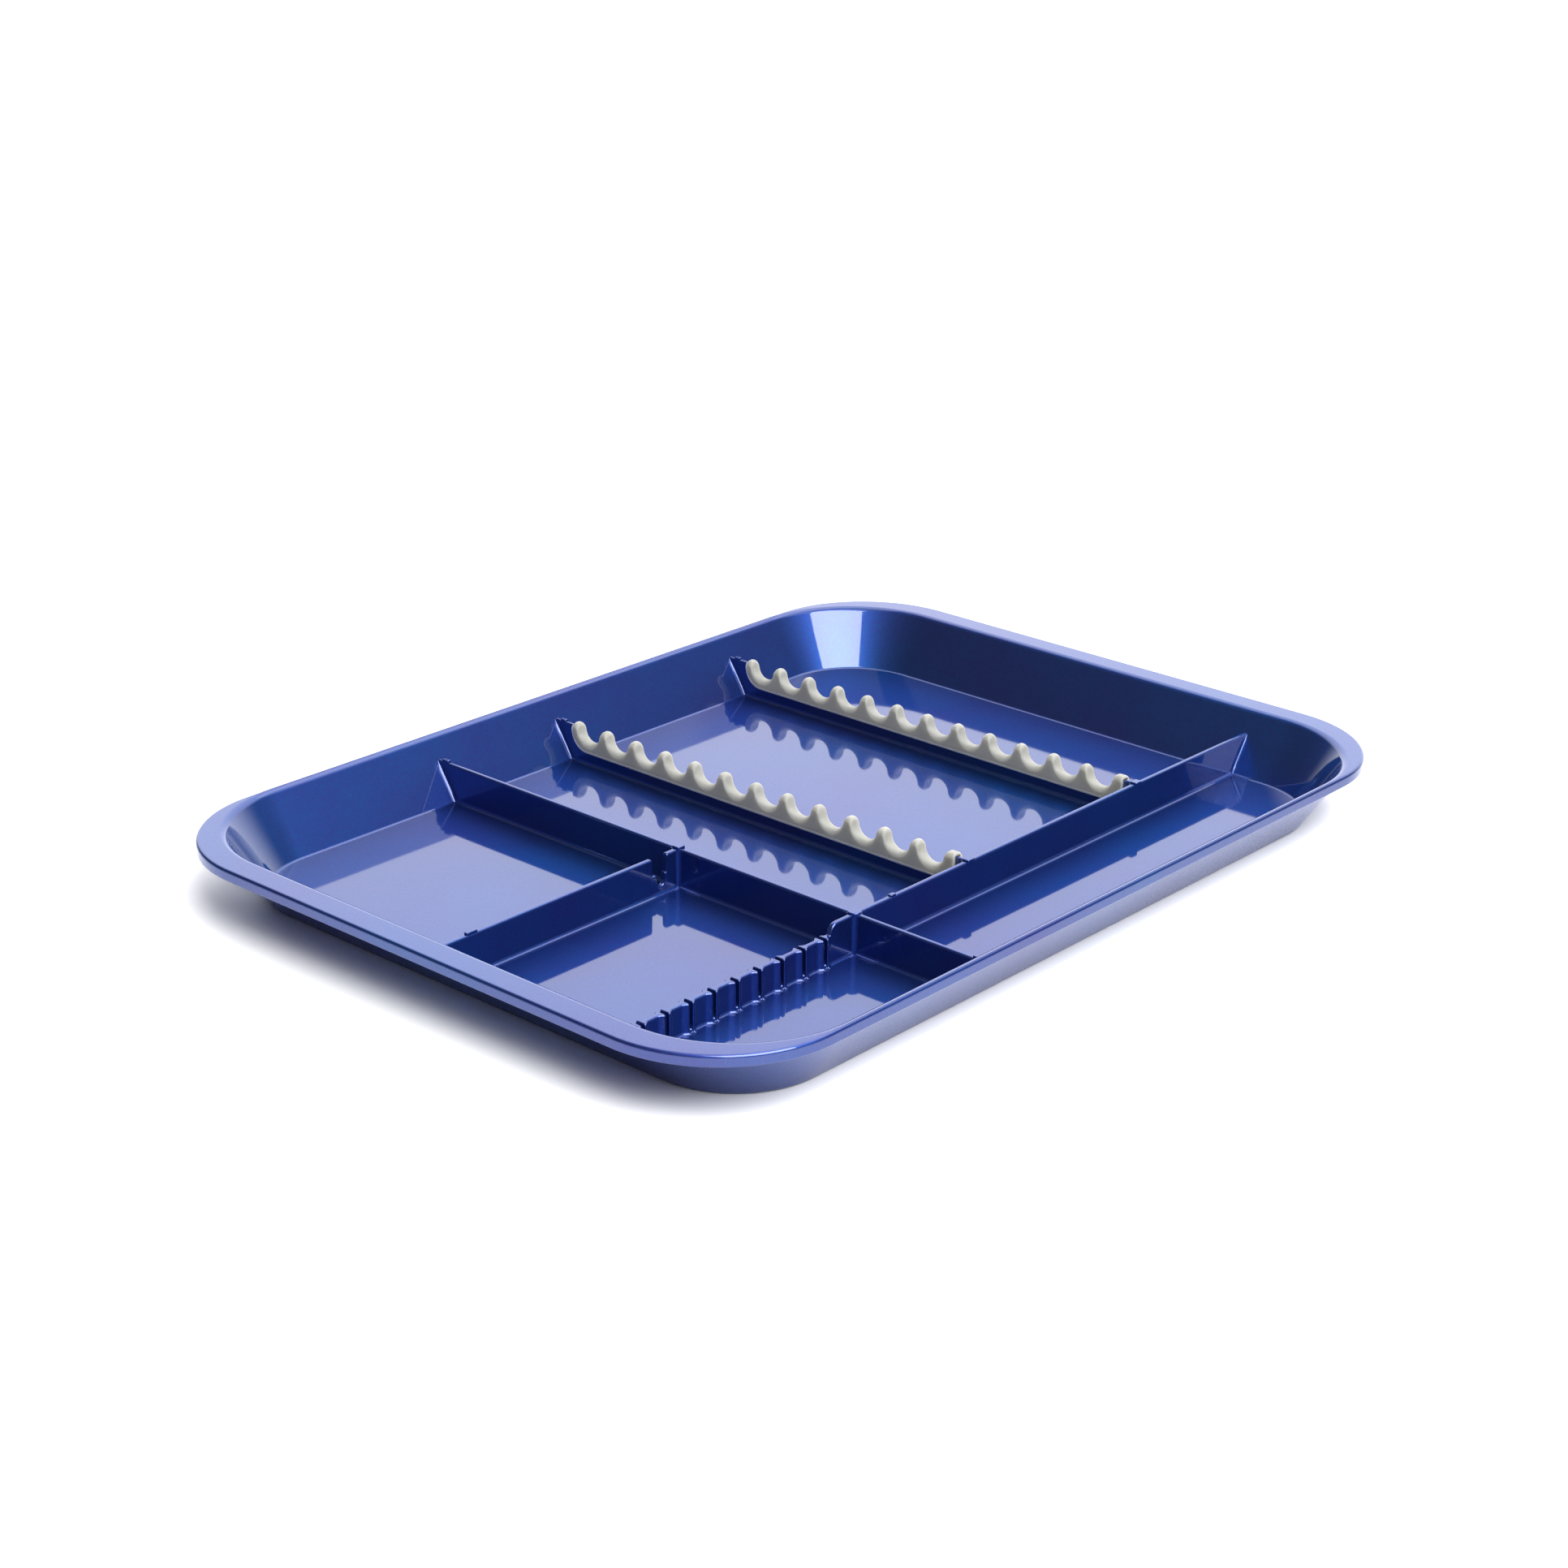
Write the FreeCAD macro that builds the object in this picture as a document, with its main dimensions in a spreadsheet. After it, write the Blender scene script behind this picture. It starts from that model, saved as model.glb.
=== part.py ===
import FreeCAD, Part
import os
import re

import Sketcher

# A divided set-up tray for hand instruments, moulded in one piece, with two soft
# scalloped strips pushed down over its two ribs. Millimetres, +Z up. X runs along
# the tray, Y across it, and the origin is under the middle of the floor.

DIMENSIONS = {
    # Outside of the tray
    "tray_length": 340.0,
    "tray_width": 245.0,
    "tray_height": 22.0,
    "rim_radius": 42.0,
    "lip_height": 3.7,
    "sheet_thickness": 2.0,
    "side_lip": 2.9,
    "rim_round": 0.6,
    # Walls and floor
    "wall_draft": 33.3,
    "wall_thickness": 2.2,
    "floor_thickness": 2.2,
    "end_flange": 9.7,
    "side_flange": 2.3,
    "cavity_radius": 41.0,
    "rim_fillet": 3.0,
    "base_round": 2.0,
    "foot_fillet": 1.2,
    # Dividers
    "divider_thickness": 1.8,
    "divider_top": 15.0,
    "cross_divider_x": -52.4,
    "long_divider_y": -65.9,
    "short_divider_y": 6.0,
    # Slotted divider
    "slotted_top": 11.6,
    "shoulder_reach": 11.7,
    "shoulder_radius": 5.0,
    "slot_count": 9,
    "slot_pitch": 9.6,
    "first_slot_x": -67.3,
    "slot_width": 1.35,
    "slot_bottom": 3.2,
    "lip_half_width": 1.9,
    "lip_half_length": 1.3,
    "lip_taper": 2.0,
    # Notch in the short divider
    "notch_left": -65.2,
    "notch_right": -58.6,
    "notch_step": 9.0,
    "notch_slot_x": -61.2,
    "notch_slot_width": 3.6,
    "notch_bottom": 5.0,
    # Bosses and lugs on top of the dividers
    "boss_diameter": 4.3,
    "boss_rise": 0.6,
    "lug_rise": 0.7,
    "lug_root": 1.0,
    "short_lug_x": -140.1,
    "short_lug_length": 4.3,
    "long_lug_x": -35.0,
    "long_lug_length": 2.4,
    "middle_lug_size": 3.0,
    "cross_lug_y": 112.5,
    "cross_lug_length": 3.0,
    "rib_lug_y": 112.0,
    "rib_lug_length": 2.4,
    "junction_lug_width": 3.2,
    "junction_lug_length": 2.6,
    # Ribs and the strips on them
    "first_rib_x": 2.0,
    "rib_spacing": 89.0,
    "scallop_count": 12,
    "scallop_pitch": 13.7,
    "first_scallop_y": 98.15,
    "scallop_centre": 15.2,
    "scallop_radius": 4.9,
    "crest_radius": 1.9,
    "strip_top": 16.2,
    "strip_bottom": 6.8,
    "strip_wall_end": 106.0,
    "strip_open_end": -61.8,
    "strip_corner": 7.0,
    "strip_end_round": 0.7,
    "strip_side": 1.2,
    "strip_skin": 0.9,
    "fit_clearance": 0.3,
}

doc = FreeCAD.newDocument("instrument_tray")
sheet = doc.addObject("Spreadsheet::Sheet", "Dimensions")
for row, (alias, number) in enumerate(DIMENSIONS.items(), start=1):
    sheet.set(f"A{row}", alias)
    sheet.set(f"B{row}", str(number))
    sheet.setAlias(f"B{row}", alias)
doc.recompute()


def expression(formula):
    """Point every alias that a formula names at the sheet."""
    def linked(word):
        return f"Dimensions.{word[0]}" if word[0] in DIMENSIONS else word[0]
    return re.sub(r"[a-z_]+", linked, str(formula))


def value(formula):
    result = sheet.evalExpression(expression(formula))
    return float(getattr(result, "Value", result))


# Derived sizes, as formulas over the sheet
CAVITY_HALF_LENGTH = "(tray_length / 2 - end_flange)"
CAVITY_HALF_WIDTH = "(tray_width / 2 - side_flange)"
SLANT_WALL = "(wall_thickness / cos(wall_draft))"
BASE_SHRINK = f"(tray_height * tan(wall_draft) - {SLANT_WALL})"
DIVIDER_FOOT = "(floor_thickness / 2)"
SHELL_TOP = "(tray_height - sheet_thickness / 2)"


def wall_reach(half_size, height):
    """How far the middle of a drafted wall is from the centre at a height."""
    return f"({half_size} - (tray_height - {height}) * tan(wall_draft) + {SLANT_WALL} / 2)"


def new_body(name):
    body = doc.addObject("PartDesign::Body", name)
    body.Label = name
    body.Placement = FreeCAD.Placement()
    return body


def new_sketch(body, name, role, offset="0"):
    """A sketch on one of the body's own origin planes, moved along its normal."""
    plane = next(item for item in body.Origin.OriginFeatures if item.Role == role)
    sketch = body.newObject("Sketcher::SketchObject", name)
    sketch.AttachmentSupport = [(plane, "")]
    sketch.MapMode = "FlatFace"
    sketch.setExpression("AttachmentOffset.Base.z", expression(offset))
    return sketch


def fix(sketch, kind, references, formula):
    """Add a dimension and bind it to the sheet."""
    number = sketch.addConstraint(Sketcher.Constraint(kind, *references, value(formula)))
    sketch.setExpression(f"Constraints[{number}]", expression(formula))


def draw_polygon(sketch, corners):
    """A closed outline whose corners are (across, up) formulas."""
    points = [FreeCAD.Vector(value(across), value(up), 0) for across, up in corners]
    count = len(points)
    for number, point in enumerate(points):
        sketch.addGeometry(Part.LineSegment(point, points[(number + 1) % count]))
    for number, (across, up) in enumerate(corners):
        following = (number + 1) % count
        sketch.addConstraint(Sketcher.Constraint("Coincident", number, 2, following, 1))
        fix(sketch, "DistanceX", (-1, 1, number, 1), across)
        fix(sketch, "DistanceY", (-1, 1, number, 1), up)


def draw_box(sketch, left, right, bottom, top):
    draw_polygon(sketch, [(left, bottom), (right, bottom), (right, top), (left, top)])


def draw_circle(sketch, across, up, radius):
    centre = FreeCAD.Vector(value(across), value(up), 0)
    up_axis = FreeCAD.Vector(0, 0, 1)
    sketch.addGeometry(Part.Circle(centre, up_axis, value(radius)))
    fix(sketch, "Radius", (0,), radius)
    fix(sketch, "DistanceX", (-1, 1, 0, 3), across)
    fix(sketch, "DistanceY", (-1, 1, 0, 3), up)


def draw_round_notch(sketch, across, up, radius):
    """A round bottom closed by a short flat chord near the top of its circle."""
    vector = FreeCAD.Vector
    centre = vector(value(across), value(up), 0)
    bend = value(radius)
    chord_rise = f"0.9 * ({radius})"
    lift = value(chord_rise)
    reach = (bend * bend - lift * lift) ** 0.5
    left = centre + vector(-reach, lift, 0)
    right = centre + vector(reach, lift, 0)
    bottom = centre + vector(0, -bend, 0)
    sketch.addGeometry(Part.Arc(left, bottom, right))
    sketch.addGeometry(Part.LineSegment(right, left))
    sketch.addConstraint(Sketcher.Constraint("Coincident", 0, 2, 1, 1))
    sketch.addConstraint(Sketcher.Constraint("Coincident", 1, 2, 0, 1))
    sketch.addConstraint(Sketcher.Constraint("Horizontal", 1))
    fix(sketch, "Radius", (0,), radius)
    fix(sketch, "DistanceX", (-1, 1, 0, 3), across)
    fix(sketch, "DistanceY", (-1, 1, 0, 3), up)
    fix(sketch, "DistanceY", (-1, 1, 1, 1), f"{up} + {chord_rise}")


def draw_rounded_rectangle(sketch, half_length, half_width, radius):
    """A rectangle about the origin with round corners, sides 0-3 and corners 4-7."""
    across = value(half_length)
    up = value(half_width)
    bend = value(radius)
    flat_x = across - bend
    flat_y = up - bend
    vector = FreeCAD.Vector
    sides = [
        (vector(-flat_x, -up, 0), vector(flat_x, -up, 0)),
        (vector(across, -flat_y, 0), vector(across, flat_y, 0)),
        (vector(flat_x, up, 0), vector(-flat_x, up, 0)),
        (vector(-across, flat_y, 0), vector(-across, -flat_y, 0)),
    ]
    corners = [(flat_x, -flat_y, 270), (flat_x, flat_y, 0), (-flat_x, flat_y, 90), (-flat_x, -flat_y, 180)]
    for start, end in sides:
        sketch.addGeometry(Part.LineSegment(start, end))
    for x, y, turn in corners:
        circle = Part.Circle(vector(x, y, 0), vector(0, 0, 1), bend)
        first = FreeCAD.Units.Quantity(turn, "deg").getValueAs("rad").Value
        last = FreeCAD.Units.Quantity(turn + 90, "deg").getValueAs("rad").Value
        sketch.addGeometry(Part.ArcOfCircle(circle, first, last))
    for number in range(4):
        corner = number + 4
        sketch.addConstraint(Sketcher.Constraint("Tangent", number, 2, corner, 1))
        sketch.addConstraint(Sketcher.Constraint("Tangent", corner, 2, (number + 1) % 4, 1))
        sketch.addConstraint(Sketcher.Constraint("Vertical" if number % 2 else "Horizontal", number))
        if number:
            sketch.addConstraint(Sketcher.Constraint("Equal", 4, corner))
    fix(sketch, "Radius", (4,), radius)
    fix(sketch, "DistanceY", (-1, 1, 0, 1), f"-{half_width}")
    fix(sketch, "DistanceX", (-1, 1, 1, 1), half_length)
    fix(sketch, "DistanceY", (-1, 1, 2, 1), half_width)
    fix(sketch, "DistanceX", (-1, 1, 3, 1), f"-{half_length}")


def add_feature(body, kind, name, sketch, length, symmetric=False, backwards=False, taper=None):
    """A Pad or a Pocket of a sketch; it must change the body's volume."""
    before = body.Shape.Volume if body.Tip else 0.0
    feature = body.newObject(f"PartDesign::{kind}", name)
    feature.Profile = sketch
    feature.setExpression("Length", expression(length))
    feature.SideType = "Symmetric" if symmetric else "One side"
    feature.Reversed = backwards
    if taper:
        feature.setExpression("TaperAngle", expression(taper))
    doc.recompute()
    change = body.Shape.Volume - before
    if (change > 0) != (kind == "Pad") or abs(change) < 0.01:
        raise RuntimeError(f"{name} changed the volume by {change:.3f}")
    return feature


def add_pattern(body, name, feature, direction, spacing, count, backwards=False):
    """Repeat a feature along one of the body's axes; spacing is between neighbours."""
    axis = next(item for item in body.Origin.OriginFeatures if item.Role == direction)
    pattern = body.newObject("PartDesign::LinearPattern", name)
    pattern.Originals = [feature]
    pattern.Direction = (axis, [""])
    pattern.Reversed = backwards
    pattern.setExpression("Length", expression(f"{spacing} * ({count} - 1)"))
    pattern.setExpression("Occurrences", expression(count))
    body.Tip = pattern
    doc.recompute()
    return pattern


def add_fillet(body, name, radius, chosen):
    """Round the edges of the body's tip that the test accepts."""
    base = body.Tip
    names = [f"Edge{number}" for number, edge in enumerate(base.Shape.Edges, start=1) if chosen(edge)]
    fillet = body.newObject("PartDesign::Fillet", name)
    fillet.Base = (base, names)
    fillet.setExpression("Radius", expression(radius))
    doc.recompute()
    return fillet


def lies_at(edge, low=None, high=None):
    """Whether an edge's bounding box lies within two opposite corners."""
    box = edge.BoundBox
    slack = 0.02
    for axis in range(3):
        least = (box.XMin, box.YMin, box.ZMin)[axis]
        most = (box.XMax, box.YMax, box.ZMax)[axis]
        if low[axis] is not None and least < low[axis] - slack:
            return False
        if high[axis] is not None and most > high[axis] + slack:
            return False
    return True


def at_height(edge, height):
    return lies_at(edge, (None, None, height), (None, None, height))


def make_rim(body):
    """Flat flange with a turned-down lip and the hollow behind the lip."""
    outline = new_sketch(body, "rim_outline", "XY_Plane", "tray_height - lip_height")
    draw_rounded_rectangle(outline, "(tray_length / 2)", "(tray_width / 2)", "rim_radius")
    add_feature(body, "Pad", "rim", outline, "lip_height")
    hollow = new_sketch(body, "lip_hollow_outline", "XY_Plane", "tray_height - lip_height")
    draw_rounded_rectangle(
        hollow,
        "(tray_length / 2 - sheet_thickness)",
        "(tray_width / 2 - side_lip)",
        "(rim_radius - sheet_thickness)",
    )
    add_feature(body, "Pocket", "lip_hollow", hollow, "lip_height - sheet_thickness", backwards=True)


def make_shell(body):
    """Drafted outside of the walls, then the cavity down to the floor."""
    outside = new_sketch(body, "base_outline", "XY_Plane")
    draw_rounded_rectangle(
        outside,
        f"({CAVITY_HALF_LENGTH} - {BASE_SHRINK})",
        f"({CAVITY_HALF_WIDTH} - {BASE_SHRINK})",
        f"(cavity_radius - {BASE_SHRINK})",
    )
    add_feature(body, "Pad", "shell", outside, SHELL_TOP, taper="wall_draft")
    inside = new_sketch(body, "cavity_outline", "XY_Plane", "tray_height")
    draw_rounded_rectangle(inside, CAVITY_HALF_LENGTH, CAVITY_HALF_WIDTH, "cavity_radius")
    add_feature(body, "Pocket", "cavity", inside, "tray_height - floor_thickness", taper="-wall_draft")


def round_shell(body):
    """Roll the rim over into the walls and soften the floor's inner and outer edges."""
    reach_x = value(CAVITY_HALF_LENGTH)
    reach_y = value(CAVITY_HALF_WIDTH)
    top = value("tray_height")
    floor = value("floor_thickness")

    def is_cavity_edge(edge):
        return lies_at(edge, (-reach_x, -reach_y, top), (reach_x, reach_y, top))

    add_fillet(body, "rim_inner_round", "rim_fillet", is_cavity_edge)
    add_fillet(body, "rim_outer_round", "rim_round", lambda edge: is_outer_rim(edge, top))
    add_fillet(body, "base_outer_round", "base_round", lambda edge: at_height(edge, 0.0))
    add_fillet(body, "floor_round", "foot_fillet", lambda edge: at_height(edge, floor))


def is_outer_rim(edge, top):
    """An edge of the flange's outer outline, which starts outside the lip's inner face."""
    box = edge.BoundBox
    outermost = max(abs(box.XMin), abs(box.XMax)) > value("tray_length / 2 - sheet_thickness")
    sidemost = max(abs(box.YMin), abs(box.YMax)) > value("tray_width / 2 - rim_round")
    return at_height(edge, top) and (outermost or sidemost)


def make_shoulder(body):
    """Rounded step where the slotted divider rises to the full divider height."""
    sketch = new_sketch(body, "shoulder_outline", "XZ_Plane", "-long_divider_y")
    end = "(cross_divider_x - shoulder_reach)"
    draw_box(sketch, end, "cross_divider_x", DIVIDER_FOOT, "divider_top")
    add_feature(body, "Pad", "shoulder", sketch, "divider_thickness", symmetric=True)
    place = (value(end), None, value("divider_top"))
    add_fillet(body, "shoulder_round", "shoulder_radius", lambda edge: lies_at(edge, place, place))


def make_cross_wall(body, name, place, start, top="divider_top"):
    """A wall across the tray at one X, from a start Y to the far wall."""
    near_foot, near_top = start
    sketch = new_sketch(body, f"{name}_outline", "YZ_Plane", place)
    draw_polygon(sketch, [
        (near_foot, DIVIDER_FOOT),
        (wall_reach(CAVITY_HALF_WIDTH, DIVIDER_FOOT), DIVIDER_FOOT),
        (wall_reach(CAVITY_HALF_WIDTH, top), top),
        (near_top, top),
    ])
    return add_feature(body, "Pad", name, sketch, "divider_thickness", symmetric=True)


def make_long_wall(body, name, place, side, top="divider_top"):
    """A wall along the tray at one Y, from the cross divider to one end."""
    foot = f"{side}{wall_reach(CAVITY_HALF_LENGTH, DIVIDER_FOOT)}"
    high = f"{side}{wall_reach(CAVITY_HALF_LENGTH, top)}"
    sketch = new_sketch(body, f"{name}_outline", "XZ_Plane", f"-{place}")
    draw_polygon(sketch, [
        ("cross_divider_x", DIVIDER_FOOT),
        (foot, DIVIDER_FOOT),
        (high, top),
        ("cross_divider_x", top),
    ])
    return add_feature(body, "Pad", name, sketch, "divider_thickness", symmetric=True)


def make_dividers(body):
    make_shoulder(body)
    near_wall = [f"-{wall_reach(CAVITY_HALF_WIDTH, height)}" for height in (DIVIDER_FOOT, "divider_top")]
    make_cross_wall(body, "cross_divider", "cross_divider_x", near_wall)
    make_long_wall(body, "long_divider", "long_divider_y", "")
    make_long_wall(body, "short_divider", "short_divider_y", "-")
    make_long_wall(body, "slotted_divider", "long_divider_y", "-", "slotted_top")


def make_ribs(body):
    """Two ribs that carry the strips, with round scallops cut in their tops."""
    start = ("long_divider_y", "long_divider_y")
    for number, place in enumerate(("first_rib_x", "(first_rib_x + rib_spacing)"), start=1):
        make_cross_wall(body, f"rib_{number}", place, start)
        sketch = new_sketch(body, f"rib_{number}_scallop_outline", "YZ_Plane", place)
        radius = "(scallop_radius + strip_skin + fit_clearance)"
        draw_round_notch(sketch, "first_scallop_y", "scallop_centre", radius)
        scallop = add_feature(
            body, "Pocket", f"rib_{number}_scallop", sketch, "divider_thickness + 2", symmetric=True
        )
        add_pattern(
            body, f"rib_{number}_scallops", scallop, "Y_Axis", "scallop_pitch", "scallop_count", backwards=True
        )


def make_lug(body, name, x, y, size_x, size_y):
    """A small flat lug standing on top of a divider."""
    sketch = new_sketch(body, f"{name}_outline", "XY_Plane", "divider_top - lug_root")
    draw_box(
        sketch,
        f"{x} - {size_x} / 2",
        f"{x} + {size_x} / 2",
        f"{y} - {size_y} / 2",
        f"{y} + {size_y} / 2",
    )
    add_feature(body, "Pad", name, sketch, "lug_root + lug_rise")


def make_lugs(body):
    thick = "divider_thickness"
    make_lug(body, "short_divider_lug", "short_lug_x", "short_divider_y", "short_lug_length", thick)
    make_lug(body, "long_divider_lug", "long_lug_x", "long_divider_y", "long_lug_length", thick)
    make_lug(body, "middle_lug", "cross_divider_x", "short_divider_y", "middle_lug_size", "middle_lug_size")
    make_lug(body, "near_cross_lug", "cross_divider_x", "(-cross_lug_y)", thick, "cross_lug_length")
    make_lug(body, "far_cross_lug", "cross_divider_x", "cross_lug_y", thick, "cross_lug_length")
    for number, place in enumerate(("first_rib_x", "(first_rib_x + rib_spacing)"), start=1):
        make_lug(body, f"rib_{number}_wall_lug", place, "rib_lug_y", thick, "rib_lug_length")
        junction = f"rib_{number}_junction_lug"
        make_lug(body, junction, place, "long_divider_y", "junction_lug_width", "junction_lug_length")
    boss = new_sketch(body, "boss_outline", "XY_Plane", DIVIDER_FOOT)
    draw_circle(boss, "cross_divider_x", "long_divider_y", "boss_diameter / 2")
    add_feature(body, "Pad", "boss", boss, f"divider_top + boss_rise - {DIVIDER_FOOT}")


def make_slots(body):
    """Thickened lips and narrow slots along the slotted divider."""
    lips = new_sketch(body, "slot_lip_outline", "XY_Plane", DIVIDER_FOOT)
    reach = "(lip_half_length + lip_taper)"
    thin = "divider_thickness / 2"
    draw_polygon(lips, [
        (f"first_slot_x + {reach}", f"long_divider_y + {thin}"),
        ("first_slot_x + lip_half_length", "long_divider_y + lip_half_width"),
        ("first_slot_x - lip_half_length", "long_divider_y + lip_half_width"),
        (f"first_slot_x - {reach}", f"long_divider_y + {thin}"),
        (f"first_slot_x - {reach}", f"long_divider_y - {thin}"),
        ("first_slot_x - lip_half_length", "long_divider_y - lip_half_width"),
        ("first_slot_x + lip_half_length", "long_divider_y - lip_half_width"),
        (f"first_slot_x + {reach}", f"long_divider_y - {thin}"),
    ])
    lip = add_feature(body, "Pad", "slot_lips", lips, f"slotted_top - {DIVIDER_FOOT}")
    add_pattern(body, "slot_lip_row", lip, "X_Axis", "slot_pitch", "slot_count", backwards=True)
    slot = new_sketch(body, "slot_outline", "XZ_Plane", "-long_divider_y")
    draw_box(
        slot,
        "first_slot_x - slot_width / 2",
        "first_slot_x + slot_width / 2",
        "slot_bottom",
        "divider_top",
    )
    cut = add_feature(body, "Pocket", "slot", slot, "4 * lip_half_width", symmetric=True)
    add_pattern(body, "slot_row", cut, "X_Axis", "slot_pitch", "slot_count", backwards=True)


def make_notch(body):
    """Stepped notch beside the middle of the tray in the short divider."""
    wide = new_sketch(body, "notch_outline", "XZ_Plane", "-short_divider_y")
    draw_box(wide, "notch_left", "notch_right", "notch_step", "tray_height")
    add_feature(body, "Pocket", "notch", wide, "2 * divider_thickness", symmetric=True)
    narrow = new_sketch(body, "notch_slot_outline", "XZ_Plane", "-short_divider_y")
    half = "notch_slot_width / 2"
    centre = f"notch_bottom + {half}"
    draw_box(narrow, f"notch_slot_x - {half}", f"notch_slot_x + {half}", centre, "tray_height")
    add_feature(body, "Pocket", "notch_slot", narrow, "2 * divider_thickness", symmetric=True)
    rounded = new_sketch(body, "notch_round_outline", "XZ_Plane", "-short_divider_y")
    draw_circle(rounded, "notch_slot_x", centre, half)
    add_feature(body, "Pocket", "notch_round", rounded, "2 * divider_thickness", symmetric=True)


def make_tray():
    body = new_body("tray")
    make_rim(body)
    make_shell(body)
    round_shell(body)
    make_dividers(body)
    make_ribs(body)
    make_slots(body)
    make_notch(body)
    make_lugs(body)
    return body


def make_strip(name, place):
    """Soft channel that sits on a rib: scalloped top, open ends and underside."""
    body = new_body(name)
    outline = new_sketch(body, f"{name}_outline", "YZ_Plane", place)
    draw_box(outline, "strip_open_end", "strip_wall_end", "strip_bottom", "strip_top")
    cavity_width = "(divider_thickness + 2 * fit_clearance)"
    thickness = f"({cavity_width} + 2 * strip_side)"
    add_feature(body, "Pad", f"{name}_block", outline, thickness, symmetric=True)
    corner = (None, value("strip_wall_end"), value("strip_bottom"))
    add_fillet(body, f"{name}_corner", "strip_corner", lambda edge: lies_at(edge, corner, corner))

    channel = new_sketch(body, f"{name}_channel_outline", "YZ_Plane", place)
    draw_box(
        channel,
        "strip_open_end - 1",
        "strip_wall_end + 1",
        "strip_bottom - 1",
        "divider_top + fit_clearance",
    )
    add_feature(body, "Pocket", f"{name}_channel", channel, cavity_width, symmetric=True)

    skin = new_sketch(body, f"{name}_skin_outline", "YZ_Plane", place)
    draw_round_notch(skin, "first_scallop_y", "scallop_centre", "scallop_radius + strip_skin")
    fill = add_feature(body, "Pad", f"{name}_skin", skin, f"{cavity_width} + strip_side", symmetric=True)
    add_pattern(body, f"{name}_skins", fill, "Y_Axis", "scallop_pitch", "scallop_count", backwards=True)

    top = new_sketch(body, f"{name}_top_outline", "YZ_Plane", place)
    draw_box(top, "strip_open_end - 1", "strip_wall_end + 1", "strip_top", "strip_top + 2 * scallop_radius")
    add_feature(body, "Pocket", f"{name}_top", top, f"2 * {thickness}", symmetric=True)

    dip = new_sketch(body, f"{name}_scallop_outline", "YZ_Plane", place)
    draw_round_notch(dip, "first_scallop_y", "scallop_centre", "scallop_radius")
    cut = add_feature(body, "Pocket", f"{name}_scallop", dip, f"2 * {thickness}", symmetric=True)
    add_pattern(body, f"{name}_scallops", cut, "Y_Axis", "scallop_pitch", "scallop_count", backwards=True)

    add_fillet(body, f"{name}_ends", "strip_end_round", is_strip_end_edge)
    add_fillet(body, f"{name}_crests", "crest_radius", is_crest_edge)
    return body


def is_strip_end_edge(edge):
    """A straight edge across the strip along the top of either end."""
    box = edge.BoundBox
    at_an_end = min(
        abs(box.YMin - value("strip_open_end")),
        abs(box.YMax - value("strip_wall_end")),
    )
    return at_height(edge, value("strip_top")) and at_an_end < 0.01 and box.YLength < 0.01


def is_crest_edge(edge):
    """A straight edge across the strip along the top of a scallop."""
    box = edge.BoundBox
    across = box.XLength > value("divider_thickness") and box.YLength < 0.01
    first = value("first_scallop_y + scallop_radius")
    last = value("first_scallop_y - scallop_pitch * (scallop_count - 1) - scallop_radius")
    return at_height(edge, value("strip_top")) and across and last < box.YMin < first


def export_parts(bodies):
    """Check every object, then write one file for each sub-part."""
    doc.recompute()
    failed = [item.Name for item in doc.Objects if {"Invalid", "Error"} & set(item.State)]
    if failed:
        raise RuntimeError(f"these objects failed: {failed}")
    for body in bodies:
        if body.Shape.isNull() or not body.Shape.isValid() or len(body.Shape.Solids) != 1:
            raise RuntimeError(f"{body.Label} is not one valid solid")
    os.makedirs("parts", exist_ok=True)
    for body in bodies:
        body.Shape.exportStep(f"parts/{body.Label}.step")
        box = body.Shape.optimalBoundingBox(False)
        print(
            f"{body.Label}: {box.XLength:.2f} x {box.YLength:.2f} x {box.ZLength:.2f} mm,"
            f" {body.Shape.Volume / 1000:.2f} cm3"
        )


export_parts([
    make_tray(),
    make_strip("instrument_strip_front", "first_rib_x"),
    make_strip("instrument_strip_rear", "(first_rib_x + rib_spacing)"),
])
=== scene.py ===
import math

import bmesh
import bpy
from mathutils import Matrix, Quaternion, Vector


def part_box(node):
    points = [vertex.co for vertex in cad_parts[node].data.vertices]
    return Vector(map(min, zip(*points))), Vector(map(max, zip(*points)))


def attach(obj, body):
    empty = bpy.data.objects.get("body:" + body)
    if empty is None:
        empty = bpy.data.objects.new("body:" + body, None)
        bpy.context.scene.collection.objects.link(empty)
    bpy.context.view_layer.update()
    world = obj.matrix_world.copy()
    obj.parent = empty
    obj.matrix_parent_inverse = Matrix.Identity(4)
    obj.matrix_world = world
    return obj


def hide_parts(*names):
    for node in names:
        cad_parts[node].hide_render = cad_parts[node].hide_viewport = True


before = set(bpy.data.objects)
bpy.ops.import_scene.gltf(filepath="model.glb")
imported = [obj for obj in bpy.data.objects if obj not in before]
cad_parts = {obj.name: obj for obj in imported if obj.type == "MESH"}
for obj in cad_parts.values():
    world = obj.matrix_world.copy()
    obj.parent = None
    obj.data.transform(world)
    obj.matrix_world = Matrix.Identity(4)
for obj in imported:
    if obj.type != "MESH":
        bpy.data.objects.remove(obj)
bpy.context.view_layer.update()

# A glossy divided tray moulded in one piece and two soft scalloped strips that sit
# on its ribs. Sizes below are millimetres in the tray's own frame; MM turns them
# into metres.

MM = 0.001

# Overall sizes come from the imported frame
tray_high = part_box("tray")[1]
HALF_LENGTH = tray_high.x / MM
HALF_WIDTH = tray_high.y / MM
HEIGHT = tray_high.z / MM
STRIP_BOXES = {name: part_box(name) for name in ("instrument_strip_front", "instrument_strip_rear")}
RIB_PLACES = [(low.x + high.x) / 2 / MM for low, high in STRIP_BOXES.values()]

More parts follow.
